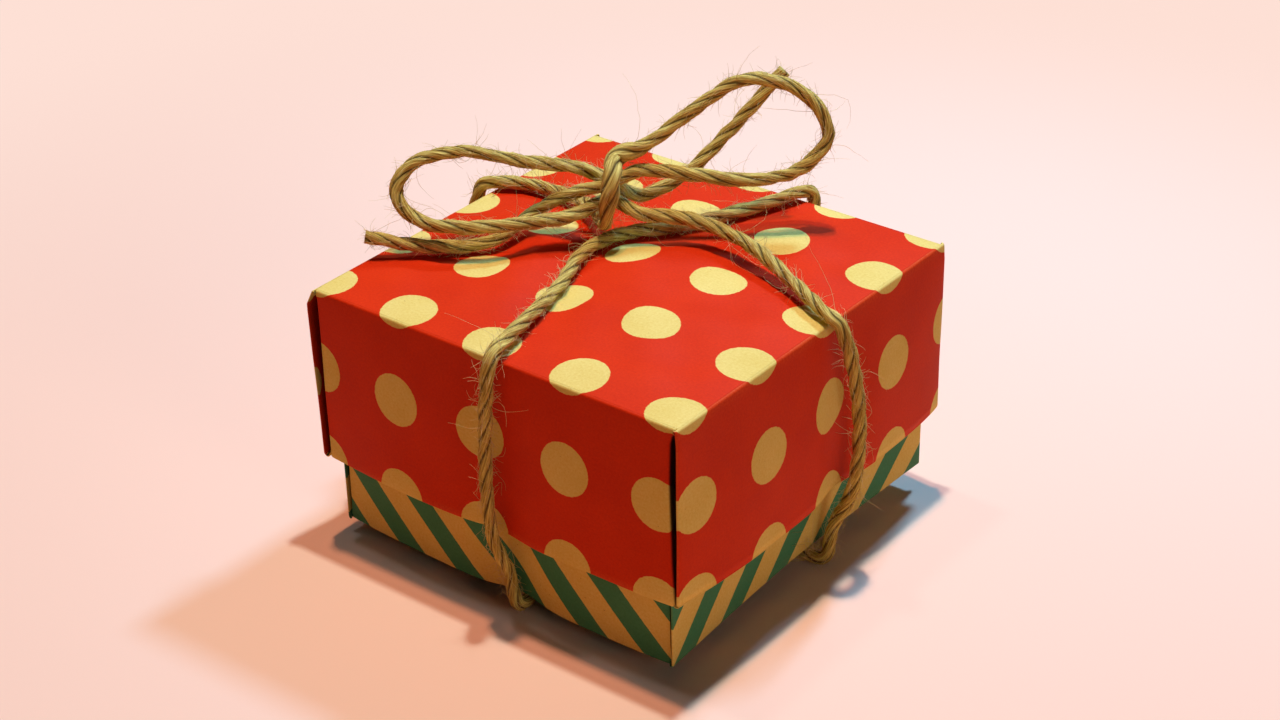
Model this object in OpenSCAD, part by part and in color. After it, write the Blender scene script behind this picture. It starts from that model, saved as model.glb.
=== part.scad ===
/* [Paper] */
// Thickness of the folded paper
paper_t = 0.12; // [0.08:0.01:0.3]
// Air left between two folded layers
layer_gap = 0.1; // [0.05:0.01:0.25]

/* [Base] */
// Width of the base across its walls
base_w = 54; // [46:0.5:80]
// Height of the base walls
base_h = 33.5; // [26:0.5:45]

/* [Lid] */
// Height of the lid walls
lid_h = 24.5; // [15:0.5:26]
// Play between the base and the lid's end walls, on each side
lid_play = 0.58; // [0.2:0.02:1.5]

/* [Twine] */
// Thickness of the twine
twine_d = 2; // [1.5:0.1:3]

/* [Hidden] */
$fn = 48;

paper_green = "#3f7a55";
paper_red = "#c8321e";
jute = "#9a7b45";

// Layers of the folded sheet: a side wall is two layers, an end wall wraps four tucked layers
tucked_layers = 4;
side_t = 2 * paper_t + layer_gap;
end_t = (2 + tucked_layers) * paper_t + 2 * layer_gap;
// The end walls' folded edges stand this far past the side walls
edge_lip = 2 * paper_t + layer_gap;
// Radius of the turn where a side wall goes in behind an end wall
turn_r = (tucked_layers + 1) * paper_t;
floor_t = 2 * paper_t;

// The base stands on the twine that passes under it, and the lid rests on the base's rim
twine_r = twine_d / 2;
twine_clear = 0.1;
seat_clear = 0.1;
// Two strands hook together under the floor and push its middle up, to a pyramid with room for them
hook_room = 1;
floor_rise = twine_d + hook_room;
// After each lower bend the twine swings this far below the points of its route
bend_sag = 0.25;
base_z = bend_sag + twine_d + twine_clear;
lid_w = base_w + 2 * (lid_play + end_t);
lid_top = base_z + base_h + seat_clear + floor_t;
lid_rim = lid_top - lid_h;

// Twine's centre over a lid edge, down the walls and under the base, as distance out and height.
// Each bend has two corners, on tangents to a circle about the paper's edge
twine_off = twine_r + twine_clear;
twine_bend = twine_off * tan(90 / 4);
// Share of the base's bare height where the twine has come in to the base wall, and its first run below
meet_share = 0.35;
run_in = 2 * twine_d;
wrap_out = [
    lid_w / 2 + twine_bend, lid_w / 2 + twine_off, lid_w / 2 + twine_off, lid_w / 2 + twine_off,
    base_w / 2 + twine_off, base_w / 2 + twine_off, base_w / 2 + twine_bend, base_w / 2 - run_in
];
wrap_z = [
    lid_top + twine_off, lid_top + twine_bend, (lid_top + lid_rim) / 2, lid_rim,
    base_z + (lid_rim - base_z) * meet_share, base_z - twine_bend, base_z - twine_off, base_z - twine_off
];
// The route's points count in halves of the twine's thickness, so that the bow grows with it
bow_unit = twine_d / 2;
// A slack strand stands off the wall by this share of its slack
slack_share = [0, 0.2, 1, 0.6, 0.1, 0, 0, 0];
function stand_off(i, slack) = wrap_out[i] + slack_share[i] * slack * bow_unit;
function wrap_x(side, slack, along) = [
    for (i = [0:len(along) - 1]) [side * stand_off(i, slack), along[i] * bow_unit, wrap_z[i]]
];
function wrap_y(side, slack, along) = [
    for (i = [0:len(along) - 1]) [along[i] * bow_unit, side * stand_off(i, slack), wrap_z[i]]
];
function reversed(list) = [for (i = [len(list) - 1:-1:0]) list[i]];

// Points of the route over the lid, by height above a strand that lies on it, and under the base,
// by level: 0 for a strand against the base's edges and 1 for a strand on top of another
function over_lid(points) = [for (p = points) p * bow_unit + [0, 0, lid_top + twine_off]];
function under_base(points) = [
    for (p = points)
        [p[0] * bow_unit, p[1] * bow_unit, base_z - twine_off + p[2] * (twine_d + 2 * twine_clear)]
];

// Route of the twine, in order from the left tail to the right tail
left_tail = over_lid([[-29, -17.8, 1.8], [-22.5, -12.8, 0.3], [-17, -7.3, 0.4], [-14.5, -1.3, 3]]);
right_loop = over_lid([
    [-10.5, 0.9, 5.7], [-6.5, 3.8, 7.1], [-4, 6.7, 8.5], [2, 10.7, 8.1], [8, 15.2, 7.3], [12.3, 19.5, 8.5],
    [14.1, 22.7, 12.5], [11, 21.9, 17.5], [5, 17.7, 19.5], [0, 13.2, 15.7], [-3.5, 8.5, 11.9]
]);
collar = over_lid([
    [-6.5, 5.3, 10.1], [-4.8, 2.5, 9.4], [-4.5, 1.2, 6.4], [-5.1, 1.2, 3.1], [-7.5, 3.5, 1.7], [-11, 5.9, 1.5]
]);
back_left_top = over_lid([[-16.5, 8.5, 0.5], [-24, 8.7, 0.1]]);
back_left_wall = wrap_x(-1, 1.6, [6.2, 5.6, 4, 3, 2.4, 1.9, 1.8, 1.2]);
hook_under_a = under_base([
    [-12, 0.5, 0.4], [-0.7, -0.3, 1], [1.4, -0.3, 1], [3.7, 1.1, 0.5], [4.2, 3.5, 0], [4.2, 14, 0]
]);
back_right_wall = wrap_y(1, 0.3, [7, 7.3, 6, 4.6, 4.2, 4.2, 4.2, 4.2]);
under_bow = over_lid([
    [4.1, 20.7, 0.1], [-0.5, 10.9, 0.1], [-5.4, 4.4, 0], [-6.1, -1.8, 0], [-2.7, -11.3, 0.1]
]);
front_left_wall = wrap_y(-1, 0.3, [1.7, 1.8, 0.6, 1, 2, 2.8, 3.1, 2.3]);
hook_under_b = under_base([
    [1.2, -12, 0], [0.4, -0.9, 0], [0.4, 1.2, 0], [1.5, 3.8, 0.6], [4, 4.2, 1], [13, 3.6, 0.4]
]);
front_right_wall = wrap_x(1, 1.6, [1.9, 2.2, 5.1, 5.2, 4.5, 3.4, 3.1, 3.2]);
front_right_top = over_lid([[20.5, 5.7, 0.8], [11.5, 8.7, 2.1], [3.5, 7.9, 3.3], [-2.7, 4.9, 3.7]]);
left_loop = over_lid([
    [-6.7, 4.4, 4.6], [-9.1, -0.9, 3.7], [-13.5, -7.3, 3.8], [-18.5, -11.6, 3.7], [-24, -13.3, 3.9],
    [-27.1, -13.6, 6.5], [-26.7, -11.3, 9.8], [-22.5, -6.3, 11.1], [-16.5, -1.7, 9.7], [-10.7, 3.7, 8.1]
]);
right_tail = over_lid([
    [-7.8, 5.9, 6.3], [-5.1, 7.9, 4.3], [-1.9, 13.5, 5.9], [1.5, 18.7, 11], [6.3, 24, 18.8]
]);
route = concat(
    left_tail, right_loop, collar, back_left_top, back_left_wall, hook_under_a, reversed(back_right_wall),
    under_bow, front_left_wall, hook_under_b, reversed(front_right_wall), front_right_top, left_loop,
    right_tail
);

// Smooth curve through the route, whose slopes weigh both neighbours by the root of their distance
curve_steps = 3;
last_point = len(route) - 1;
function unit(v) = v / norm(v);
function root_gap(a, b) = sqrt(norm(b - a));
function slope(a, b, c) =
    (b - a) / root_gap(a, b) - (c - a) / (root_gap(a, b) + root_gap(b, c)) + (c - b) / root_gap(b, c);
function at_point(i) = i < 0 ? 2 * route[0] - route[1]
    : i > last_point ? 2 * route[last_point] - route[last_point - 1]
    : route[i];
slopes = [for (i = [0:last_point]) slope(at_point(i - 1), at_point(i), at_point(i + 1))];
function on_curve(i, t) =
    let (a = route[i], b = route[i + 1], reach = root_gap(a, b))
        a * (1 + 2 * t) * (1 - t) * (1 - t) + b * t * t * (3 - 2 * t)
        + reach * t * (1 - t) * (slopes[i] * (1 - t) - slopes[i + 1] * t);
curve = [
    for (i = [0:last_point - 1], k = [0:curve_steps - 1]) on_curve(i, k / curve_steps),
    route[last_point]
];

// Rings of the twine's tube, turned as little as the curve allows
twine_sides = 8;
last_ring = len(curve) - 1;
function square_to(v, axis) = unit(v - (v * axis) * axis);
tangents = [for (i = [0:last_ring]) unit(curve[min(i + 1, last_ring)] - curve[max(i - 1, 0)])];
normals = [
    for (i = 0, u = square_to([0, 0, 1], tangents[0]);
         i <= last_ring;
         u = square_to(u, tangents[min(i + 1, last_ring)]), i = i + 1)
        u
];
function ring(p, axis, normal) = [
    for (k = [0:twine_sides - 1])
        let (turn = (k + 0.5) * 360 / twine_sides)
            p + twine_r * (cos(turn) * normal + sin(turn) * cross(axis, normal))
];

// Square sheet folded into an open box: floor, two side walls (Y) and two end walls (X)
module folded_box(w, h, rise) {
    half = w / 2;
    side_out = half - edge_lip;
    floor_panels(half, side_out, rise);
    flaps(half, side_out, rise);
    for (s = [0, 180])
        rotate(s) {
            side_wall(half, side_out, h, rise);
            end_wall(half, side_out, h, rise);
            for (m = [0, 1])
                mirror([0, m, 0])
                    tucked_corner(half, side_out, h);
        }
}

// Outer layer of the floor, pushed up to a low pyramid by rise
module floor_panels(half, side_out, rise) {
    rim = [[half, side_out], [-half, side_out], [-half, -side_out], [half, -side_out]];
    below = [for (p = rim) [p[0], p[1], 0]];
    above = [for (p = rim) [p[0], p[1], paper_t]];
    polyhedron(
        points = concat(below, above, [[0, 0, rise], [0, 0, rise + paper_t]]),
        faces = concat(
            [for (i = [0:3]) [i, (i + 1) % 4, 8]],
            [for (i = [0:3]) [4 + (i + 1) % 4, 4 + i, 9]],
            [for (i = [0:3]) [(i + 1) % 4, i, 4 + i]],
            [for (i = [0:3]) [(i + 1) % 4, 4 + i, 4 + (i + 1) % 4]]
        ));
}

// Four corners of the sheet, folded in over the floor with their tips at its centre
module flaps(half, side_out, rise) {
    end_in = half - end_t;
    side_in = side_out - side_t;
    for (s = [0, 180])
        rotate(s) {
            flap(end_in, side_in, half, rise);
            rotate(90)
                flap(side_in, end_in, side_out, rise);
        }
}

// One corner of the sheet: foot lies along a wall's inner face and reach is its floor edge
module flap(foot, breadth, reach, rise) {
    foot_z = rise * (1 - foot / reach);
    seam = layer_gap;
    outline = [[foot, breadth - seam, foot_z], [seam, 0, rise], [foot, -breadth + seam, foot_z]];
    below = [for (p = outline) p + [0, 0, paper_t / 2]];
    above = [for (p = outline) p + [0, 0, floor_t]];
    polyhedron(
        points = concat(below, above),
        faces = concat(
            [[0, 1, 2], [5, 4, 3]],
            [for (i = [0:2]) [(i + 1) % 3, i, 3 + i]],
            [for (i = [0:2]) [(i + 1) % 3, 3 + i, 3 + (i + 1) % 3]]
        ));
}

// Strip with a round top, from its outer face at x = 0 inwards
module arch(thick, top, foot) {
    translate([-thick, foot])
        square([thick, top - thick / 2 - foot]);
    translate([-thick / 2, top - thick / 2])
        circle(thick / 2);
}

// Section of a doubled sheet: up the outside, round the fold at the top and down the inside to its foot
module doubled(thick, top, outer_foot, inner_foot) {
    difference() {
        arch(thick, top, outer_foot);
        translate([-paper_t, 0])
            arch(thick - 2 * paper_t, top - paper_t, outer_foot - paper_t);
        translate([-2 * thick, outer_foot - paper_t])
            square([2 * thick - paper_t, inner_foot - outer_foot + paper_t]);
    }
}

module side_wall(half, side_out, h, rise) {
    length = 2 * (half - paper_t - layer_gap - turn_r);
    foot = rise * (side_t - paper_t) / side_out + paper_t / 2;
    translate([-length / 2, side_out, 0])
        rotate([90, 0, 90])
            linear_extrude(length)
                doubled(side_t, h, 0, foot);
}

module end_wall(half, side_out, h, rise) {
    inner = 2 * (side_out - side_t - layer_gap);
    outer = 2 * (half - edge_lip / 2);
    foot = rise * (end_t - paper_t) / half + paper_t / 2;
    translate([half, inner / 2, 0])
        rotate([90, 0, 0])
            linear_extrude(inner)
                doubled(end_t, h, 0, foot);
    translate([half - paper_t, -outer / 2, 0])
        cube([paper_t, outer, h - end_t / 2]);
}

// Corner at +X +Y: the end wall folds back on itself, and the side wall turns in behind it and tapers off
module tucked_corner(half, side_out, h) {
    wall_top = h - end_t / 2;
    pack_out = half - paper_t - layer_gap;
    pack_t = tucked_layers * paper_t;
    post_y = side_out - turn_r;
    translate([half, 0, 0])
        linear_extrude(wall_top)
            doubled(edge_lip, half, post_y, post_y);
    translate([pack_out - turn_r, post_y, 0])
        linear_extrude(wall_top)
            intersection() {
                circle(turn_r);
                translate([-paper_t, 0])
                    square(turn_r + paper_t);
            }
    translate([pack_out, 0, 0])
        rotate([90, 0, -90])
            linear_extrude(pack_t)
                polygon([
                    [-post_y - paper_t, floor_t],
                    [-post_y - paper_t, wall_top],
                    [wall_top - post_y, wall_top]
                ]);
}

module box_base() {
    color(paper_green)
        translate([0, 0, base_z])
            folded_box(base_w, base_h, floor_rise);
}

module box_lid() {
    color(paper_red)
        translate([0, 0, lid_top])
            rotate([180, 0, 0])
                folded_box(lid_w, lid_h, 0);
}

// One length of twine, from tail to tail
module twine() {
    rings = [for (i = [0:last_ring]) each ring(curve[i], tangents[i], normals[i])];
    walls = [
        for (i = [0:last_ring - 1], k = [0:twine_sides - 1])
            let (a = i * twine_sides + k, b = i * twine_sides + (k + 1) % twine_sides)
                each [[a, b, b + twine_sides], [a, b + twine_sides, a + twine_sides]]
    ];
    start_cap = [for (k = [twine_sides - 1:-1:0]) k];
    end_cap = [for (k = [0:twine_sides - 1]) last_ring * twine_sides + k];
    color(jute)
        polyhedron(points = rings, faces = concat(walls, [start_cap, end_cap]));
}

box_base();
box_lid();
twine();
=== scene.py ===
from types import SimpleNamespace

import bpy
import bmesh
import numpy as np
from mathutils import Matrix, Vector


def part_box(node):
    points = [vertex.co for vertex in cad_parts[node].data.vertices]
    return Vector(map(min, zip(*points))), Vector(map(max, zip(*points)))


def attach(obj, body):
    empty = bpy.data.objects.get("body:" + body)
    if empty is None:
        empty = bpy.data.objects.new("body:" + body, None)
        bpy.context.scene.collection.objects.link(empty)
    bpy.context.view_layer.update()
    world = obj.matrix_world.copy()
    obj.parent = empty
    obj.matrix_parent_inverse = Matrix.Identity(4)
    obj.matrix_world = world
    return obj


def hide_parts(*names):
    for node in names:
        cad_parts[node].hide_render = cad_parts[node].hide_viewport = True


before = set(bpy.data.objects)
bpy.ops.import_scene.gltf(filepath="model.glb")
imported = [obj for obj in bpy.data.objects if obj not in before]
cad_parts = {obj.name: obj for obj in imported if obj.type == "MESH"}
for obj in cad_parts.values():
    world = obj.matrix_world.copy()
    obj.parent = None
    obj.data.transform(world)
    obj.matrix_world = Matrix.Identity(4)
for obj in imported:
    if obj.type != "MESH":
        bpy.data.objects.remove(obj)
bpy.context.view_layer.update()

# Camera: looks down at the corner between two walls, with a long lens on a small box.
# Its place, turn and focal length were worked out from the box's corners on an image of 1280 x 720.
azimuth, elevation, roll = np.radians([38.3097, 30.0019, -1.1138])
camera_place = (0.173749, -0.218664, 0.183823)
image_width, focal_pixels = 1280, 2503.386
sensor_width = 36


def turned_to(right, up, back, place=(0, 0, 0)):
    turned = np.eye(4)
    turned[:3] = np.stack([right, up, back, place], 1)
    return Matrix(turned)


away = np.array([
    np.sin(azimuth) * np.cos(elevation), -np.cos(azimuth) * np.cos(elevation), np.sin(elevation)
])
across = np.array([np.cos(azimuth), np.sin(azimuth), 0])
upward = np.cross(away, across)
right = across * np.cos(roll) + upward * np.sin(roll)
up = upward * np.cos(roll) - across * np.sin(roll)
camera = bpy.data.objects.new("camera", bpy.data.cameras.new("camera"))
camera.data.sensor_width = sensor_width
camera.data.lens = sensor_width * focal_pixels / image_width
camera.data.clip_start = 0.01
camera.matrix_world = turned_to(right, up, away, camera_place)
bpy.context.scene.collection.objects.link(camera)
bpy.context.scene.camera = camera

# Base of the box: one square sheet of kraft paper with printed green stripes, folded up into four walls.
# Two end walls have folded edges, and two side walls curl in behind them. The rim is folded over and inwards.
# The twine that passes under the base pushes the middle of its floor up.
MM = 0.001
base_low, base_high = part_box("box_base")
base_half = base_high.x / MM
base_height = (base_high.z - base_low.z) / MM
base_foot = base_low.z / MM
floor_rise = 3.0
paper = 0.12
layer_gap = 0.1
side_t = 2 * paper + layer_gap
end_t = 6 * paper + 2 * layer_gap
crease_r = 0.3
# Grid lines across a wall, round the turn at its end and over the tucked part behind
wall_lines, turn_lines, tuck_lines = 65, 9, 4
# An end wall's folded edges stand this far past the side walls
lip = side_t


def linear(hex_colour):
    parts = [int(hex_colour[i:i + 2], 16) / 255 for i in (1, 3, 5)]
    return [c / 12.92 if c <= 0.04045 else ((c + 0.055) / 1.055) ** 2.4 for c in parts] + [1]


def add(tree, kind, inputs=None, **settings):
    made = tree.nodes.new("ShaderNode" + kind)
    for name, value in settings.items():
        setattr(made, name, value)
    for key, value in (inputs or {}).items():
        if isinstance(value, bpy.types.NodeSocket):
            tree.links.new(value, made.inputs[key])
        else:
            made.inputs[key].default_value = value
    return made


def smooth_step(low, high, value):
    share = np.clip((value - low) / (high - low), 0, 1)
    return share * share * (3 - 2 * share)


def quad_corners(grid):
    """The four corners of each face between a row of a grid and the next."""
    return np.stack([grid[:-1, :-1], grid[:-1, 1:], grid[1:, 1:], grid[1:, :-1]], 2)


def sheet_object(name, grids):
    """Joins grids of (points, sheet places, fold) in mm to one piece of paper with a flat-sheet UV map.

    fold is above 0 where an edge is worn, on the end walls' creases partly as a painted highlight, and below
    0 where painted shade darkens the paper deep in a slit or behind a fold.
    """
    weld = 0.002
    points, places, folds, faces = [], [], [], []
    start = 0
    for grid, sheet_place, fold in grids:
        rows, columns = grid.shape[:2]
        index = start + np.arange(rows * columns).reshape(rows, columns)
        faces.append(quad_corners(index).reshape(-1, 4))
        points.append(grid.reshape(-1, 3))
        places.append(sheet_place.reshape(-1, 2))
        folds.append(np.broadcast_to(fold, grid.shape[:2]).ravel())
        start += rows * columns
    points, places, folds = np.vstack(points), np.vstack(places), np.concatenate(folds)
    faces = np.vstack(faces)
    mesh = bpy.data.meshes.new(name)
    mesh.from_pydata((points * MM).tolist(), [], faces.tolist())
    sheet_map = mesh.uv_layers.new(name="sheet")
    sheet_map.data.foreach_set("uv", places[faces.ravel()].astype(np.float32).ravel())
    fold_layer = mesh.attributes.new("fold", "FLOAT", "POINT")
    fold_layer.data.foreach_set("value", folds.astype(np.float32))
    shape = bmesh.new()
    shape.from_mesh(mesh)
    bmesh.ops.remove_doubles(shape, verts=shape.verts, dist=weld * MM)
    shape.to_mesh(mesh)
    shape.free()
    mesh.shade_smooth()
    piece = bpy.data.objects.new(name, mesh)
    bpy.context.scene.collection.objects.link(piece)
    thick = piece.modifiers.new("paper thickness", "SOLIDIFY")
    thick.thickness = paper * MM
    thick.offset = -1
    return piece


def wall_rows(height, rim_r):
    """Outward step, height and length along the sheet of each row, from the floor's crease over the rim."""
    turn = np.linspace(0, np.pi / 2, 6)
    crease = crease_r * np.stack([np.sin(turn) - 1, 1 - np.cos(turn), turn - 1], 1)
    z = np.linspace(crease_r, height - rim_r, 26)[1:]
    plain = np.stack([0 * z, z, z], 1)
    turn = np.linspace(0, np.pi, 9)[1:]
    rim = rim_r * np.stack([np.cos(turn) - 1, np.sin(turn), turn], 1) + [0, height - rim_r, height - rim_r]
    z = np.linspace(height - rim_r, paper, 7)[1:]
    inside = np.stack([-2 * rim_r + 0 * z, z, rim[-1, 2] + height - rim_r - z], 1)
    return np.vstack([crease, plain]), np.vstack([plain[-1:], rim, inside])


def inner_share(height, rows):
    """Share of a wall's length that its inner layer has: below the rim it ends short of the corners."""
    return 1 - 0.12 * smooth_step(0.3, 1.5, height - rows[:, 1:2])


def stands_out(wall, s):
    """How far a wall stands out at s along it, on both sides of the twine, or is pulled in by it."""
    if wall.bulge < 0:
        return wall.bulge * (1 - np.clip(abs(s) / wall.half, 0, 1) ** 1.5)
    held_width = 4.5
    held = np.exp(-((s - wall.twine_at) / held_width) ** 2)
    return wall.bulge * (1 - (s / wall.half) ** 4) * (1 - held)


def wall_grid(wall, rows, s, flat_s, step=0.0, fold=0.0, raised=0.0):
    """Grid of a wall's rows at s along it, step further out, where the flat sheet has its places at flat_s.

    raised is how far the foot of what lies behind a fold stands off the floor.
    """
    flare_reach, flare_foot, raised_below = 8, 2.5, 1.2
    rim_rub, rim_width, crease_rub_and_highlight, crease_width = 0.5, 0.25, 0.3, 0.4
    z, along_sheet = rows[:, 1:2] + 0 * s, rows[:, 2:3] + 0 * s
    z = z + raised * smooth_step(raised_below, 0.0, z)
    share = np.clip(z / wall.height, 0, 1)
    rise = np.sin(np.pi / 2 * np.clip(1.5 * share, 0, 1))
    bulge = stands_out(wall, s) * (wall.at_crease + (1 - wall.at_crease) * rise)
    # The sheet is nowhere quite flat
    wave = (0.07 * np.sin(0.31 * s + 2 * wall.quarter) + 0.05 * np.sin(0.17 * s - 0.4 * z)) * share
    flare = sum(
        smooth_step(wall.half - flare_reach, wall.half, side * s) * far_out
        for side, far_out in zip((-1, 1), wall.flare)
    )
    flare = flare * smooth_step(0, flare_foot, z) * (1 - 0.7 * share)
    far = wall.reach + rows[:, 0:1] + step + bulge + wave + flare
    grid = np.stack([wall.out[k] * far + wall.along[k] * s for k in (0, 1)] + [z], -1)
    flat = np.stack([wall.out[k] * (wall.reach + along_sheet) + wall.along[k] * flat_s for k in (0, 1)], -1)
    # The rim is worn lighter. On the end walls, the crease to the floor of the fold is lighter too, partly
    # from worn paper and partly as a painted highlight.
    rub_and_highlight = rim_rub * np.exp(-abs(z - wall.height) / rim_width)
    if wall.is_end:
        rub_and_highlight = rub_and_highlight + crease_rub_and_highlight * np.exp(-z / crease_width)
    return grid, flat, np.where(fold < 0, fold, np.maximum(rub_and_highlight, fold))


def end_wall(wall):
    """Grids of a wall whose two edges fold back on themselves."""
    fold_r = lip / 2
    edge_at = wall.half - fold_r
    # The back of each folded edge and the part tucked behind it get painted shade; the front of the fold is
    # worn lighter.
    painted_shade_behind, rub_at_fold, lift = -0.55, 0.3, 0.6
    outer, over = wall_rows(wall.height, end_t / 2)
    s = np.linspace(-1, 1, wall_lines) * edge_at + 0 * outer[:, :1]
    inner_s = s[-1:] * inner_share(wall.height, over)
    grids = [wall_grid(wall, outer, s, s), wall_grid(wall, over, inner_s, inner_s)]
    turn = np.concatenate([np.linspace(0, np.pi, turn_lines), np.full(tuck_lines, np.pi)])
    back = np.concatenate([np.zeros(turn_lines), np.linspace(0.3, 2.4, tuck_lines)])
    step = fold_r * (np.cos(turn) - 1)
    fold = np.where(turn <= np.pi / 2, rub_at_fold * np.sin(turn), painted_shade_behind)
    raised = lift * smooth_step(np.pi / 2, np.pi, turn)
    for side in (1, -1):
        s = side * (edge_at + fold_r * np.sin(turn) - back)[::side] + 0 * outer[:, :1]
        flat_s = side * (edge_at + back)[::side] + 0 * s
        grids.append(wall_grid(wall, outer, s, flat_s, step[::side], fold[::side] + 0 * s, raised[::side]))
    return grids


def side_wall(wall, curl, slit):
    """Grids of a wall whose two ends curl in behind the end walls, with a slit to each end wall's fold."""
    curl_turn = np.radians(105)
    tight_r, tight_below = 0.1, 1.2
    # Painted shade darkens the paper where it curls into the slit.
    painted_shade_in_slit, lift = -0.93, 0.5
    outer, over = wall_rows(wall.height, side_t / 2)
    z = outer[:, 1:2]
    curl_r = np.interp(z, [0, tight_below, wall.height], [tight_r, curl, curl])
    # The slit is tight at the floor, widest at a third of the height and narrow again at the rim
    gap = np.interp(z / wall.height, [0, 0.07, 0.3, 0.75, 1], [0.02, 0.85, 1, 0.7, 0.25])
    ends = [wall.half - lip - gap * width - curl_r for width in slit]
    share = np.linspace(0, 1, wall_lines)
    s = share * ends[1] - (1 - share) * ends[0]
    inner_s = s[-1:] * inner_share(wall.height, over)
    grids = [wall_grid(wall, outer, s, s), wall_grid(wall, over, inner_s, inner_s)]
    turn = np.concatenate([np.linspace(0, 1, turn_lines), np.full(tuck_lines, 1)]) * curl_turn
    deep = np.concatenate([np.zeros(turn_lines), np.linspace(0.4, 2.8, tuck_lines)])
    step = curl_r * (np.cos(turn) - 1) - deep * np.sin(curl_turn)
    fold = painted_shade_in_slit * smooth_step(0.5, 1.3, turn)
    raised = lift * smooth_step(0.6, curl_turn, turn)
    for side, end in ((1, ends[1]), (-1, ends[0])):
        s = side * (end + curl_r * np.sin(turn) + deep * np.cos(curl_turn))[:, ::side]
        flat_s = side * (end + curl_r * turn + deep)[:, ::side]
        grids.append(wall_grid(wall, outer, s, flat_s, step[:, ::side], fold[::side] + 0 * s, raised[::side]))
    return grids


def floor_lines(limit):
    """Even grid lines with an extra pair by each end, where a fold starts."""
    by_end = 0.15
    inner = np.linspace(-limit, limit, 57)[1:-1]
    return np.concatenate([[-limit, -limit + by_end], inner, [limit - by_end, limit]])


def folded_box(half, height, floor_height, curl, slit, bulges, at_crease, twine_at, flares):
    """Grids of one folded box that stands on z = 0: its floor, two end walls (X) and two side walls (Y).

    curl is the radius of a side wall's turn at its ends, slit the widest gap there to the end wall's fold.
    bulges holds how far each wall stands out on both sides of the twine (or, below 0, is pulled in by it),
    at_crease the share of that at the floor's crease, and flares how far each wall's two edges stand out.
    """
    walls = []
    for quarter in range(4):
        angle = quarter * np.pi / 2
        is_end = quarter % 2 == 0
        walls.append(SimpleNamespace(
            quarter=quarter, is_end=is_end, half=half, height=height, reach=half if is_end else half - lip,
            out=np.round([np.cos(angle), np.sin(angle)]), along=np.round([-np.sin(angle), np.cos(angle)]),
            bulge=bulges[quarter], at_crease=at_crease, twine_at=twine_at[quarter], flare=flares[quarter]
        ))
    flat = np.stack(np.meshgrid(floor_lines(half - crease_r), floor_lines(half - lip - crease_r)), -1)
    floor_grid = np.concatenate([flat, floor_height(flat[..., 0], flat[..., 1])[..., None]], -1)
    for wall in walls:
        edge_share = np.clip(flat @ wall.out / (wall.reach - crease_r), 0, 1) ** 6
        push = at_crease * stands_out(wall, flat @ wall.along) * edge_share
        floor_grid[..., :2] += push[..., None] * wall.out
    grids = [(floor_grid[::-1], flat[::-1], 0.0)]
    for wall in walls:
        grids += end_wall(wall) if wall.is_end else side_wall(wall, curl, slit)
    return grids


def base_floor(x, y):
    steepness = np.maximum(abs(x) / base_half, abs(y) / base_half)
    return floor_rise * (1 - steepness) * smooth_step(1.0, 0.93, steepness)


twine_at_base = [3.6, -4.4, -2.0, 2.4]
base_grids = folded_box(
    base_half, base_height, base_floor, curl=0.12, slit=(0.28, 0.28), bulges=(-1.0, -0.5, -0.6, 0.7),
    at_crease=1.0, twine_at=twine_at_base, flares=[(0, 0)] * 4
)
# The base hangs a little askew in the lid: it is turned, its near corner is lower and one far corner higher,
# but not where the twine holds it
base_turn = np.radians(-0.6)
near_drop, right_drop, held_width = 0.5, 0.1, 4
turn_in_lid = np.array([[np.cos(base_turn), -np.sin(base_turn)], [np.sin(base_turn), np.cos(base_turn)]])
for grid, _, _ in base_grids:
    x_share, y_share = grid[..., 0] / base_half / 2 + 0.5, grid[..., 1] / base_half / 2 + 0.5
    held = np.exp(-((grid[..., 0] - twine_at_base[3]) / held_width) ** 2) * np.clip(1 - 2 * y_share, 0, 1)
    askew = (x_share * y_share - (near_drop + right_drop * x_share) * (1 - y_share)) * (1 - held)
    grid[..., 2] += askew * (1 - grid[..., 2] / base_height) + base_foot
    grid[..., :2] = grid[..., :2] @ turn_in_lid.T
base = sheet_object("striped_base", base_grids)

stripe_pitch = 10.05
stripe_width = 4.7
stripe_start = 9.0


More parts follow.
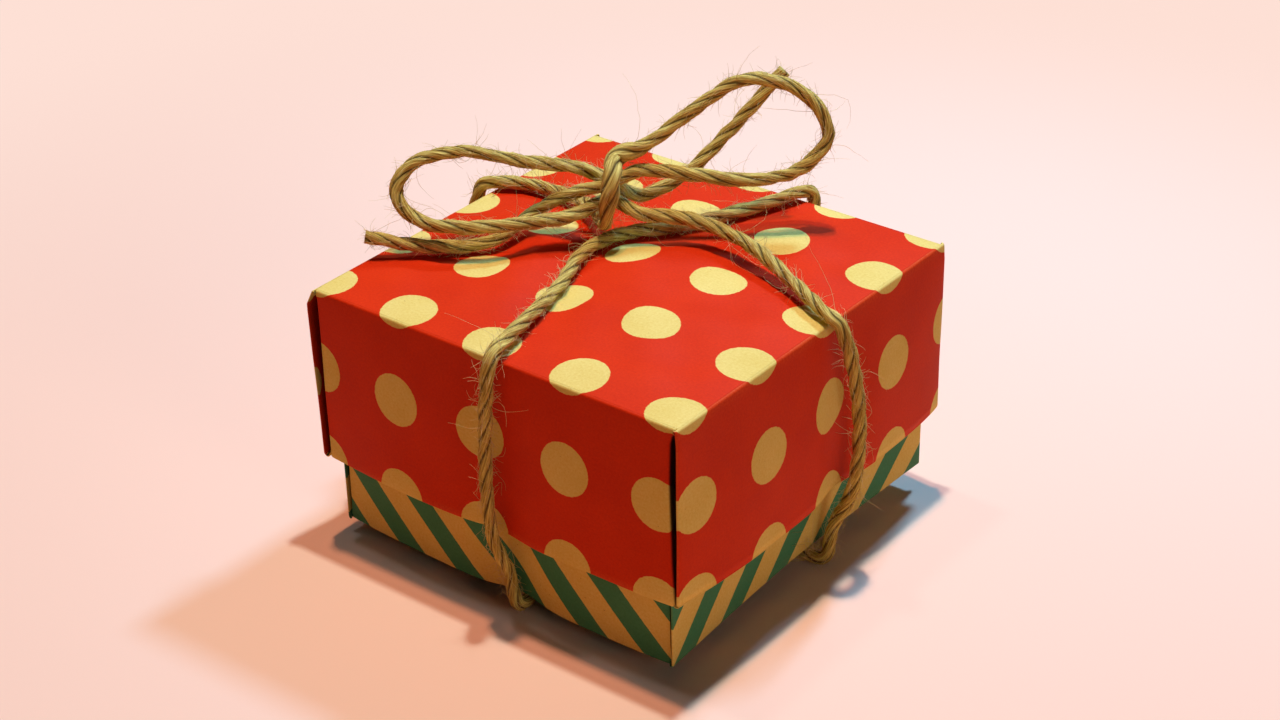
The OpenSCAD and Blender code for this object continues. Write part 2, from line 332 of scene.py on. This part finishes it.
def printed_kraft(name, ink_dark, ink_light, distance, printed):
    """Matt kraft paper with a fine tooth and a few dark flecks; the ink is a little uneven.

    distance(tree, sheet) gives a length in mm on the sheet, and the ink lies where it is within printed.
    """
    rag_size, tooth_size, cloud_size, fleck_size = 0.455, 0.333, 8.33, 0.588
    rag_depth, ink_edge, tooth_depth = 0.2, 0.1, 0.05
    begin, end = printed[0] + rag_depth / 2, printed[1] + rag_depth / 2
    material = bpy.data.materials.new(name)
    material.use_nodes = True
    tree = material.node_tree
    tree.nodes.clear()
    sheet = add(tree, "UVMap", uv_map="sheet").outputs["UV"]

    def noise(size, detail, roughness=0.5):
        settings = {"Vector": sheet, "Scale": 1 / size, "Detail": detail, "Roughness": roughness}
        return add(tree, "TexNoise", settings).outputs["Fac"]

    def math(operation, *values, clamp=False):
        return add(tree, "Math", dict(enumerate(values)), operation=operation, use_clamp=clamp).outputs[0]

    def blend(share, first, second):
        return add(tree, "Mix", {0: share, 6: first, 7: second}, data_type="RGBA").outputs[2]

    # The print: ink with slightly ragged edges
    length = math("MULTIPLY_ADD", noise(rag_size, 3), rag_depth, distance(tree, sheet))
    begun = add(tree, "MapRange", {"Value": length, 1: begin, 2: begin + ink_edge}).outputs[0]
    ended = add(tree, "MapRange", {"Value": length, 1: end, 2: end + ink_edge, 3: 1.0, 4: 0.0}).outputs[0]
    inked = math("MULTIPLY", begun, ended)

    # The paper: mottled fibres and dark flecks
    mottle = add(tree, "Mix", {0: 0.35, 2: noise(tooth_size, 6, 0.7), 3: noise(cloud_size, 3)}).outputs[0]
    uneven = add(tree, "MapRange", {"Value": mottle, 1: 0.36, 2: 0.64}).outputs[0]
    bare = blend(uneven, linear("#e4d06e"), linear("#f4e792"))
    speck = noise(fleck_size, 2, 0.8)
    fleck = add(tree, "MapRange", {"Value": speck, 1: 0.69, 2: 0.76, 3: 0.0, 4: 0.55}).outputs[0]
    kraft = blend(fleck, bare, linear("#8a6430"))
    ink = blend(uneven, linear(ink_dark), linear(ink_light))

    # Worn edges show some paper through the ink, on the end walls' creases partly as a painted highlight, and
    # painted shade darkens the paper deep in the slits and behind the folds
    fold = add(tree, "Attribute", attribute_name="fold").outputs["Fac"]
    rub_and_highlight = math("MULTIPLY", fold, uneven, clamp=True)
    cover = math("MULTIPLY", inked, math("MULTIPLY_ADD", rub_and_highlight, -0.4, 1.0))
    # Painted shade: paper deep in a slit or behind a fold is blended towards near black.
    painted_slit_shade = math("MULTIPLY", fold, -1.0, clamp=True)
    colour = blend(painted_slit_shade, blend(cover, kraft, ink), linear("#120502"))
    tooth = add(tree, "Bump", {"Height": mottle, "Distance": tooth_depth * MM, "Strength": 0.7}).outputs[0]
    shader = add(tree, "BsdfPrincipled", {
        "Base Color": colour, "Roughness": 0.6, "Specular IOR Level": 0.13, "Normal": tooth
    })
    add(tree, "OutputMaterial", {"Surface": shader.outputs[0]})
    return material


def across_stripes(tree, sheet):
    """Place across the slanting stripes, counted anew from the start of each green one."""
    split = add(tree, "SeparateXYZ", {0: sheet}).outputs
    slant = add(tree, "Math", {0: split["X"], 1: split["Y"]}, operation="SUBTRACT").outputs[0]
    from_start = add(tree, "Math", {0: slant, 1: stripe_start}, operation="SUBTRACT").outputs[0]
    return add(tree, "Math", {0: from_start, 1: stripe_pitch}, operation="FLOORED_MODULO").outputs[0]


striped = printed_kraft("striped kraft paper", "#3f8a66", "#4c9a76", across_stripes, (0, stripe_width))
base.data.materials.append(striped)
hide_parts("box_base")
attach(base, "root")

# Lid: the same fold from a sheet printed red with bare kraft dots, turned over and slipped on the base.
# Its top is the floor of the fold, so the dots run on over the top's edges and are cut at the corners.
# The tied strands press on the top, and the thin paper swells a little between them.
lid_low, lid_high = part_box("box_lid")
lid_half = lid_high.x / MM
lid_height = (lid_high.z - lid_low.z) / MM
lid_top = lid_high.z / MM
pillow_height, pillow_power = 1.3, 2.5
pressed_width = 4

# Strands that lie on the top, in mm from its middle
strands_on_top = [
    [(7, 28.5), (4.1, 20.7), (-0.5, 10.9), (-5.4, 4.4), (-6.1, -1.8), (-2.7, -11.3), (1.7, -28.5)],
    [(-6, 5), (-16.5, 8.5), (-24, 8.7), (-28.5, 6.2)],
    [(28.5, 2.2), (20.5, 5.7), (13, 8.2)],
    [(-29, -17.8), (-22.5, -12.8), (-17, -7.3)],
]
pressed = np.vstack([
    np.array(a) * (1 - t) + np.array(b) * t
    for strand in strands_on_top for a, b in zip(strand, strand[1:]) for t in np.linspace(0, 1, 6)
])
# Height of each ripple, its turns in radians for each mm along x and y, and its start
ripples = [
    (0.13, 0.33, 0.19, 0.5), (0.12, 0.14, -0.42, 2.1), (0.08, 0.62, 0.55, 1.2), (0.06, -0.35, 0.8, 0.0)
]


def lid_panel(x, y):
    """How far the top lies below its edges: it stands up as a rippled pillow between the strands."""
    from_strand = np.min([np.hypot(x - px, y - py) for px, py in pressed], axis=0)
    share_x = np.clip(abs(x) / (lid_half - crease_r), 0, 1)
    share_y = np.clip(abs(y) / (lid_half - lip - crease_r), 0, 1)
    pillow = pillow_height * (1 - share_x ** pillow_power) * (1 - share_y ** pillow_power)
    ripple = sum(high * np.sin(by_x * x + by_y * y + start) for high, by_x, by_y, start in ripples)
    inside = smooth_step(1.0, 0.72, np.maximum(share_x, share_y))
    return -(pillow + ripple * inside) * (1 - np.exp(-(from_strand / pressed_width) ** 2))


lid_grids = folded_box(
    lid_half, lid_height, lid_panel, curl=0.4, slit=(0.1, 0.95), bulges=(1.2, 0.9, 0.9, 0.85),
    at_crease=0.0, twine_at=[4.5, -5.5, -4.0, 1.0], flares=[(0.15, 0.15), (0, 0), (0.2, 1.15), (0, 0)]
)
# The right-hand crease takes up some of the sheet, so the dots near it lie further out
taken_up, taken_past_corner = 0.8, 7
for grid, flat, _ in lid_grids:
    grid[..., 2] = lid_top - grid[..., 2]
    by_crease = smooth_step(lid_half / 2, lid_half, flat[..., 0])
    by_crease = by_crease * smooth_step(lid_half + taken_past_corner, lid_half, abs(flat[..., 1]))
    flat[..., 0] -= taken_up * by_crease
lid = sheet_object("dotted_lid", [
    (grid[::-1], flat[::-1], np.broadcast_to(fold, grid.shape[:2])[::-1]) for grid, flat, fold in lid_grids
])

dot_pitch = (13.45, 13.7)
dot_radius = 3.52
dot_at = (25.5, -25.4)


def from_dot(tree, sheet):
    """Distance from the nearest dot's centre, on a nearly square grid along the box's sides."""
    half_pitch = np.array([*dot_pitch, 1]) / 2
    moved = add(tree, "VectorMath", {0: sheet, 1: (*dot_at, 0)}, operation="SUBTRACT").outputs[0]
    cell = add(tree, "VectorMath", {0: moved, 1: half_pitch, 2: -half_pitch}, operation="WRAP").outputs[0]
    flat = add(tree, "VectorMath", {0: cell, 1: (1, 1, 0)}, operation="MULTIPLY").outputs[0]
    return add(tree, "VectorMath", {0: flat}, operation="LENGTH").outputs["Value"]


dotted = printed_kraft("dotted kraft paper", "#d22d08", "#e4390a", from_dot, (dot_radius, 2 * dot_pitch[0]))
lid.data.materials.append(dotted)
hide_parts("box_lid")
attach(lid, "root")

# Twine: one length of three-ply jute, laid both ways round the box, hooked on itself below and tied in a bow.
# The route is the one in the part's source: over the lid in mm above a strand that lies on it,
# down the walls by place along the wall, and under the base by level.
twine_d = 2.0
twine_r = twine_d / 2
clear = 0.1
lid_rim = lid_top - lid_height
off = twine_r + clear
corner = off * np.tan(np.pi / 8)
meet_share = 0.35
wall_out = np.array([
    lid_half + corner, lid_half + off, lid_half + off, lid_half + off,
    base_half + off, base_half + off, base_half + corner, base_half - 2 * twine_d
])
wall_z = np.array([
    lid_top + off, lid_top + corner, (lid_top + lid_rim) / 2, lid_rim,
    base_foot + (lid_rim - base_foot) * meet_share, base_foot - corner, base_foot - off, base_foot - off
])
slack_share = np.array([0, 0.2, 1, 0.6, 0.1, 0, 0, 0])


def over_lid(*points):
    return np.array(points) + [0, 0, lid_top + off]


def under_base(*points):
    return np.array(points) * [1, 1, twine_d + 2 * clear] + [0, 0, base_foot - off]


def down_wall(axis, side, slack, *along):
    out = side * (wall_out + slack_share * slack)
    return np.stack([out, along, wall_z] if axis == "x" else [along, out, wall_z], 1)


left_tail = over_lid((-29, -17.8, 1.8), (-22.5, -12.8, 0.3), (-17, -7.3, 0.4), (-14.5, -1.3, 3))
right_loop = over_lid(
    (-10.5, 0.9, 5.7), (-6.5, 3.8, 7.1), (-4, 6.7, 8.5), (2, 10.7, 8.1), (8, 15.2, 7.3), (12.3, 19.5, 8.5),
    (14.1, 22.7, 12.5), (11, 21.9, 17.5), (5, 17.7, 19.5), (0, 13.2, 15.7), (-3.5, 8.5, 11.9)
)
collar = over_lid(
    (-6.5, 5.3, 10.1), (-4.8, 2.5, 9.4), (-4.5, 1.2, 6.4), (-5.1, 1.2, 3.1), (-7.5, 3.5, 1.7), (-11, 5.9, 1.5)
)
hook_under_a = under_base(
    (-12, 0.5, 0.4), (-0.7, -0.3, 1), (1.4, -0.3, 1), (3.7, 1.1, 0.5), (4.2, 3.5, 0), (4.2, 14, 0)
)
under_bow = over_lid((4.1, 20.7, 0.1), (-0.5, 10.9, 0.1), (-5.4, 4.4, 0), (-6.1, -1.8, 0), (-2.7, -11.3, 0.1))
hook_under_b = under_base(
    (1.2, -12, 0), (0.4, -0.9, 0), (0.4, 1.2, 0), (1.5, 3.8, 0.6), (4, 4.2, 1), (13, 3.6, 0.4)
)
left_loop = over_lid(
    (-6.7, 4.4, 4.6), (-9.1, -0.9, 3.7), (-13.5, -7.3, 3.8), (-18.5, -11.6, 3.7), (-24, -13.3, 3.9),
    (-27.1, -13.6, 6.5), (-26.7, -11.3, 9.8), (-22.5, -6.3, 11.1), (-16.5, -1.7, 9.7), (-10.7, 3.7, 8.1)
)
right_tail = over_lid((-7.8, 5.9, 6.3), (-5.1, 7.9, 4.3), (-1.9, 13.5, 5.9), (1.5, 18.7, 11), (6.3, 24, 18.8))
route = np.vstack([
    left_tail,
    right_loop,
    collar,
    over_lid((-16.5, 8.5, 0.5), (-24, 8.7, 0.1)),
    down_wall("x", -1, 1.6, 6.2, 5.6, 4, 3, 2.4, 1.9, 1.8, 1.2),
    hook_under_a,
    down_wall("y", 1, 0.3, 7, 7.3, 6, 4.6, 4.2, 4.2, 4.2, 4.2)[::-1],
    under_bow,
    down_wall("y", -1, 0.3, 1.7, 1.8, 0.6, 1, 2, 2.8, 3.1, 2.3),
    hook_under_b,
    down_wall("x", 1, 1.6, 1.9, 2.2, 5.1, 5.2, 4.5, 3.4, 3.1, 3.2)[::-1],
    over_lid((20.5, 5.7, 0.8), (11.5, 8.7, 2.1), (3.5, 7.9, 3.3), (-2.7, 4.9, 3.7)),
    left_loop,
    right_tail,
])

# Smooth curve through the points, whose slopes weigh both neighbours by the root of their distance
curve_steps = 24
padded = np.vstack([2 * route[0] - route[1], route, 2 * route[-1] - route[-2]])
gaps = np.diff(padded, axis=0)
root_gap = np.sqrt(np.linalg.norm(gaps, axis=1))[:, None]
before, after = gaps[:-1], gaps[1:]
slope = before / root_gap[:-1] - (before + after) / (root_gap[:-1] + root_gap[1:]) + after / root_gap[1:]
t = np.linspace(0, 1, curve_steps, endpoint=False)[None, :, None]
curve = (route[:-1, None] * (1 + 2 * t) * (1 - t) ** 2 + route[1:, None] * t * t * (3 - 2 * t)
         + root_gap[1:-1, None] * t * (1 - t) * (slope[:-1, None] * (1 - t) - slope[1:, None] * t))
curve = np.vstack([curve.reshape(-1, 3), route[-1:]])
length_at = np.concatenate([[0], np.cumsum(np.linalg.norm(np.diff(curve, axis=0), axis=1))])

# Rings at even steps along the curve, turned as little as it allows
ring_step = 0.3
ring_at = np.linspace(0, length_at[-1], int(length_at[-1] / ring_step))
line = np.stack([np.interp(ring_at, length_at, curve[:, k]) for k in range(3)], 1)
tangent = np.gradient(line, axis=0)
tangent /= np.linalg.norm(tangent, axis=1)[:, None]
normal = np.zeros_like(line)
normal[0] = np.cross(tangent[0], [0, 1, 0])
for i in range(len(line)):
    carried = normal[max(i - 1, 0)]
    carried = carried - (carried @ tangent[i]) * tangent[i]
    normal[i] = carried / np.linalg.norm(carried)
sideways = np.cross(tangent, normal)

# Three plies, each a round strand off the middle; together they turn once in a lay of six thicknesses.
# The firm core is thinner than the twine, whose thickness is taken over its hair
lay = 6 * twine_d
core_share = 0.9
ply_centre, ply_r = 0.34, 0.66
ring_sides = 30
swell_share, swell_step = 0.04, 4.0
twist_stray, twist_step = 0.35, 6.0
drift_reach = 700
draw = np.random.default_rng(4)


def drift(step):
    """Random values at each step along more than the whole twine, joined by straight lines."""
    knots = np.arange(0, drift_reach, step)
    return np.interp(ring_at, knots, draw.standard_normal(len(knots)))


swell = core_share + swell_share * drift(swell_step)
# The knot's collar is pulled flat and wide over the other strands, from just before it to its fourth point
collar_swell, collar_ease = 0.38, 4
collar_first = len(left_tail) + len(right_loop)
collar_from, collar_to = (length_at[curve_steps * (collar_first + k)] for k in (-1, 3))
swell += collar_swell * (
    smooth_step(collar_from, collar_from + collar_ease, ring_at)
    * smooth_step(collar_to, collar_to - collar_ease, ring_at)
)
around = np.arange(ring_sides) * 2 * np.pi / ring_sides
from_ply = (around + np.pi / 3) % (2 * np.pi / 3) - np.pi / 3
profile = ply_centre * np.cos(from_ply) + np.sqrt(ply_r ** 2 - (ply_centre * np.sin(from_ply)) ** 2)
profile = twine_r * profile / profile.max()
twist = (2 * np.pi * ring_at / lay + twist_stray * drift(twist_step))[:, None]
turn = around[None, :] + twist

# Lumps on a grid of places along the twine and angles round it
lump_step, lump_angles, lump_height = 1.5, 40, 0.055
rough = draw.standard_normal((int(ring_at[-1] / lump_step) + 2, lump_angles))
place, angle = ring_at[:, None] / lump_step + 0 * turn, turn / (2 * np.pi) * lump_angles
row, column = place.astype(int), np.floor(angle).astype(int)
row_share, column_share = place - row, angle - column
lumps = sum(
    weight_row * weight_column * rough[row + down, (column + over) % lump_angles]
    for down, weight_row in ((0, 1 - row_share), (1, row_share))
    for over, weight_column in ((0, 1 - column_share), (1, column_share))
)
radius = (profile[None, :] * (swell[:, None] + lump_height * lumps))[..., None]
outward = np.cos(turn)[..., None] * normal[:, None] + np.sin(turn)[..., None] * sideways[:, None]
tube = line[:, None] + radius * outward
above_floor = 0.01
tube[..., 2] = np.maximum(tube[..., 2], above_floor)

rings = len(line)
index = np.arange(rings * ring_sides).reshape(rings, ring_sides)
faces = quad_corners(np.concatenate([index, index[:, :1]], 1)).reshape(-1, 4)
caps = [index[0, ::-1].tolist(), index[-1].tolist()]
twine_mesh = bpy.data.meshes.new("jute_twine")
twine_mesh.from_pydata((tube.reshape(-1, 3) * MM).tolist(), [], faces.tolist() + caps)
# Map in mm round and along the twine, turned with the plies so that the fibres run nearly along the strand
fibre_slant = 0.4
yarn_map = twine_mesh.uv_layers.new(name="yarn")
round_mm = (np.append(around, 2 * np.pi) + fibre_slant * twist) * twine_r
along_mm = np.repeat(ring_at[:, None], ring_sides + 1, 1)
loops = quad_corners(np.stack([round_mm, along_mm], -1)).reshape(-1, 2)
loops = np.vstack([loops, np.zeros((2 * ring_sides, 2))])
yarn_map.data.foreach_set("uv", loops.astype(np.float32).ravel())
groove = twine_mesh.attributes.new("groove", "FLOAT", "POINT")
depth = (profile.max() - profile) / (profile.max() - profile.min())
groove.data.foreach_set("value", np.tile(depth, rings).astype(np.float32))
twine_mesh.shade_smooth()
twine = bpy.data.objects.new("jute_twine", twine_mesh)
bpy.context.scene.collection.objects.link(twine)

# Jute: dull straw with paler and browner bast fibres drawn out along the strand, with painted shade in the
# grooves between the plies
fibre_width, fibre_length, patch_size, fibre_depth = 0.222, 2.86, 6.25, 0.25
jute = bpy.data.materials.new("jute")
jute.use_nodes = True
tree = jute.node_tree
tree.nodes.clear()
yarn = add(tree, "UVMap", uv_map="yarn").outputs["UV"]
per_fibre = (1 / fibre_width, 1 / fibre_length, 1)
drawn = add(tree, "VectorMath", {0: yarn, 1: per_fibre}, operation="MULTIPLY").outputs[0]
strands = add(tree, "TexNoise", {"Vector": drawn, "Scale": 1.0, "Detail": 4, "Roughness": 0.6}).outputs["Fac"]
streak = add(tree, "MapRange", {"Value": strands, 1: 0.33, 2: 0.66}).outputs[0]
straw = add(tree, "Mix", {0: streak, 6: linear("#98741c"), 7: linear("#fff694")}, data_type="RGBA").outputs[2]
patch = add(tree, "TexNoise", {"Vector": yarn, "Scale": 1 / patch_size, "Detail": 2}).outputs["Fac"]
browner = add(tree, "MapRange", {"Value": patch, 1: 0.4, 2: 0.7, 3: 0.0, 4: 0.25}).outputs[0]
mixed = add(tree, "Mix", {0: browner, 6: straw, 7: linear("#9c782c")}, data_type="RGBA").outputs[2]
# Painted shade: the colour is darkened in the grooves between the plies.
groove_for_painted_shade = add(tree, "Attribute", attribute_name="groove").outputs["Fac"]
deep = add(tree, "MapRange", {"Value": groove_for_painted_shade, 1: 0.5, 2: 1.0, 3: 0.0, 4: 0.9}).outputs[0]
colour = add(tree, "Mix", {0: deep, 6: mixed, 7: linear("#241406")}, data_type="RGBA").outputs[2]
hairy = add(tree, "Bump", {"Height": strands, "Distance": fibre_depth * MM, "Strength": 1.0}).outputs[0]
shader = add(tree, "BsdfPrincipled", {
    "Base Color": colour, "Roughness": 0.75, "Specular IOR Level": 0.2, "Normal": hairy
})
add(tree, "OutputMaterial", {"Surface": shader.outputs[0]})
twine.data.materials.append(jute)
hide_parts("twine")
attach(twine, "root")

# Loose fibres: short bast ends that stand off a jute twine all along it, a few long ones and frayed cut ends.
# Each is a thin tapered thread that starts in the twine and bends away from it, clear of paper and floor.
fibre_r = 0.028
fibre_sides = 3
paper_clear, floor_clear = 0.1, 0.05


def clear_of_paper(points):
    """Moves points out of the box, over the nearest of the faces that they lie behind."""
    for half, low in ((lid_half, lid_rim), (base_half, base_foot)):
        top = lid_top - lid_panel(points[..., 0], points[..., 1])
        gap = np.stack([half - abs(points[..., 0]), half - abs(points[..., 1]), top - points[..., 2]], -1)
        gap += paper_clear
        inside = (gap.min(-1) > 0) & (points[..., 2] > low)
        nearest = gap.argmin(-1)
        for axis in range(3):
            sign = np.where(points[..., axis] < 0, -1, 1) if axis < 2 else 1
            points[..., axis] += np.where(inside & (nearest == axis), sign * gap[..., axis], 0)
    points[..., 2] = np.maximum(points[..., 2], floor_clear)
    return points


def unit(vectors):
    return vectors / (np.linalg.norm(vectors, axis=-1)[..., None] + 1e-9)


def threads(at, lean, lengths, joints):
    """Points and faces of threads that leave ring numbers at, with lean outward, of given lengths."""
    bend, scatter, root_share, tip_share = 0.3, 0.35, 0.8, 0.4
    odd_way = [0.31, 0.77, 0.55]
    count = len(at)
    turn = draw.uniform(0, 2 * np.pi, count)[:, None]
    outward = np.cos(turn) * normal[at] + np.sin(turn) * sideways[at]
    heading = tangent[at] * draw.choice([-1, 1], count)[:, None] + outward * lean[:, None]
    heading += scatter * draw.standard_normal((count, 3))
    veer = bend * draw.standard_normal((count, 3))
    points = [line[at] + outward * twine_r * root_share]
    for _ in range(joints - 1):
        heading = unit(heading)
        points.append(points[-1] + heading * (lengths / (joints - 1))[:, None])
        heading = heading + veer + 0.5 * bend * draw.standard_normal((count, 3))
    points = clear_of_paper(np.stack(points, 1))
    run = unit(np.gradient(points, axis=1))
    first = unit(np.cross(run, odd_way))
    second = np.cross(run, first)
    thin = fibre_r * np.linspace(1, tip_share, joints)[None, :, None]
    angles = np.arange(fibre_sides) * 2 * np.pi / fibre_sides
    sides = [points + thin * (np.cos(angle) * first + np.sin(angle) * second) for angle in angles]
    number = np.arange(count * joints * fibre_sides).reshape(count, joints, fibre_sides)
    wrapped = np.concatenate([number, number[..., :1]], 2)
    quads = np.stack([wrapped[:, :-1, :-1], wrapped[:, :-1, 1:], wrapped[:, 1:, 1:], wrapped[:, 1:, :-1]], -1)
    return np.stack(sides, 2).reshape(-1, 3), quads.reshape(-1, 4)


fuzz_count, stray_count, fray_count = 5000, 260, 2 * 26
cut_ends = np.repeat([2, rings - 3], fray_count // 2)
fuzz = threads(draw.integers(0, rings, fuzz_count), draw.uniform(0.15, 0.9, fuzz_count),
               draw.uniform(0.7, 2.3, fuzz_count), joints=4)
strays = threads(draw.integers(0, rings, stray_count), draw.uniform(0.4, 1.3, stray_count),
                 3 + draw.exponential(2.5, stray_count).clip(0, 8), joints=10)
fray = threads(cut_ends, draw.uniform(0.1, 0.8, fray_count), draw.uniform(0.8, 2.2, fray_count), joints=4)
thread_points, thread_faces, first_number = [], [], 0
for points, quads in (fuzz, strays, fray):
    thread_points.append(points)
    thread_faces.append(quads + first_number)
    first_number += len(points)
fibre_mesh = bpy.data.meshes.new("fibres")
fibre_mesh.from_pydata((np.vstack(thread_points) * MM).tolist(), [], np.vstack(thread_faces).tolist())
fibre_mesh.shade_smooth()
fibres = bpy.data.objects.new("fibres", fibre_mesh)
bpy.context.scene.collection.objects.link(fibres)

# Loose jute fibre: paler than the twine, as single hairs catch the light
bast = bpy.data.materials.new("loose jute fibre")
bast.use_nodes = True
bast.node_tree.nodes["Principled BSDF"].inputs["Base Color"].default_value = linear("#e2cf96")
bast.node_tree.nodes["Principled BSDF"].inputs["Roughness"].default_value = 0.6
fibres.data.materials.append(bast)
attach(fibres, "root")

# Floor: a plain card that the box stands on. It throws a warm light up at the walls, and shows pale pink.
# Further off it shows the same pale pink whatever light reaches it, as a plain ground behind the box.
floor_half = 3
ground_from, ground_to = 0.075, 0.2
floor_corners = [(x * floor_half, y * floor_half, 0) for x, y in ((-1, -1), (1, -1), (1, 1), (-1, 1))]
floor_mesh = bpy.data.meshes.new("floor")
floor_mesh.from_pydata(floor_corners, [], [(0, 1, 2, 3)])
floor = bpy.data.objects.new("floor", floor_mesh)
bpy.context.scene.collection.objects.link(floor)

# Pale card: matt, with one colour for the light that it throws and one for what is seen of it
card = bpy.data.materials.new("pale card")
card.use_nodes = True
tree = card.node_tree
tree.nodes.clear()
ray = add(tree, "LightPath").outputs
seen = add(tree, "Math", {0: ray["Is Camera Ray"], 1: ray["Is Glossy Ray"]}, operation="MAXIMUM").outputs[0]
seen = add(tree, "Math", {0: seen, 1: ray["Is Transmission Ray"]}, operation="MAXIMUM").outputs[0]
thrown, shown = linear("#eeac7a"), linear("#ffe7da")
colour = add(tree, "Mix", {0: seen, 6: thrown, 7: shown}, data_type="RGBA").outputs[2]
lit = add(tree, "BsdfDiffuse", {"Color": colour}).outputs[0]
position = add(tree, "NewGeometry").outputs["Position"]
from_box = add(tree, "VectorMath", {0: position}, operation="LENGTH").outputs["Value"]
fade = {"Value": from_box, 1: ground_from, 2: ground_to}
far_off = add(tree, "MapRange", fade, interpolation_type="SMOOTHSTEP").outputs[0]
plain = add(tree, "Math", {0: seen, 1: far_off}, operation="MULTIPLY").outputs[0]
ground = add(tree, "Emission", {"Color": linear("#fee0d5")}).outputs[0]
shader = add(tree, "MixShader", {0: plain, 1: lit, 2: ground})
add(tree, "OutputMaterial", {"Surface": shader.outputs[0]})
floor.data.materials.append(card)

# Light: far off, a warm lamp overhead and faint ones at the sides. Near by, a pale lamp above and a cool one
# behind. Each is set by the light that it gives a level sheet on the lid, and all together give about one.
for name, toward, level_light, colour, width in (
    ("warm lamp overhead", (-0.10, 0.08, 1), 0.43, "#ffa87c", 2.5),
    ("lamp at the left", (-0.33, 0.01, 1), 0.05, "#ffffff", 4),
    ("lamp at the right", (1, -0.2, 0.35), 0.03, "#fff0dc", 20),
):
    toward = np.array(toward) / np.linalg.norm(toward)
    lamp = bpy.data.objects.new(name, bpy.data.lights.new(name, "SUN"))
    lamp.data.energy = np.pi * level_light / toward[2]
    lamp.data.color = linear(colour)[:3]
    lamp.data.angle = np.radians(width)
    side = np.cross([0, 1, 0], toward)
    side /= np.linalg.norm(side)
    lamp.matrix_world = turned_to(side, np.cross(toward, side), toward)
    bpy.context.scene.collection.objects.link(lamp)
for name, place, level_light, colour, radius in (
    ("pale lamp above", (-0.003, 0.030, 0.42), 0.44, "#f9fff0", 0.007),
    ("cool lamp behind", (0.003, 0.180, 0.285), 0.55, "#95d3ff", 0.018),
):
    lamp = bpy.data.objects.new(name, bpy.data.lights.new(name, "POINT"))
    lamp.location = place
    from_lid = np.array(place) - [0, 0, lid_top * MM]
    lamp.data.energy = 4 * np.pi ** 2 * level_light * np.linalg.norm(from_lid) ** 3 / from_lid[2]
    lamp.data.color = linear(colour)[:3]
    lamp.data.shadow_soft_size = radius
    bpy.context.scene.collection.objects.link(lamp)
world = bpy.data.worlds.new("glow")
world.use_nodes = True
world.node_tree.nodes["Background"].inputs["Color"].default_value = linear("#ffeee6")
world.node_tree.nodes["Background"].inputs["Strength"].default_value = 0.012
bpy.context.scene.world = world
bpy.context.scene.view_settings.view_transform = "Standard"
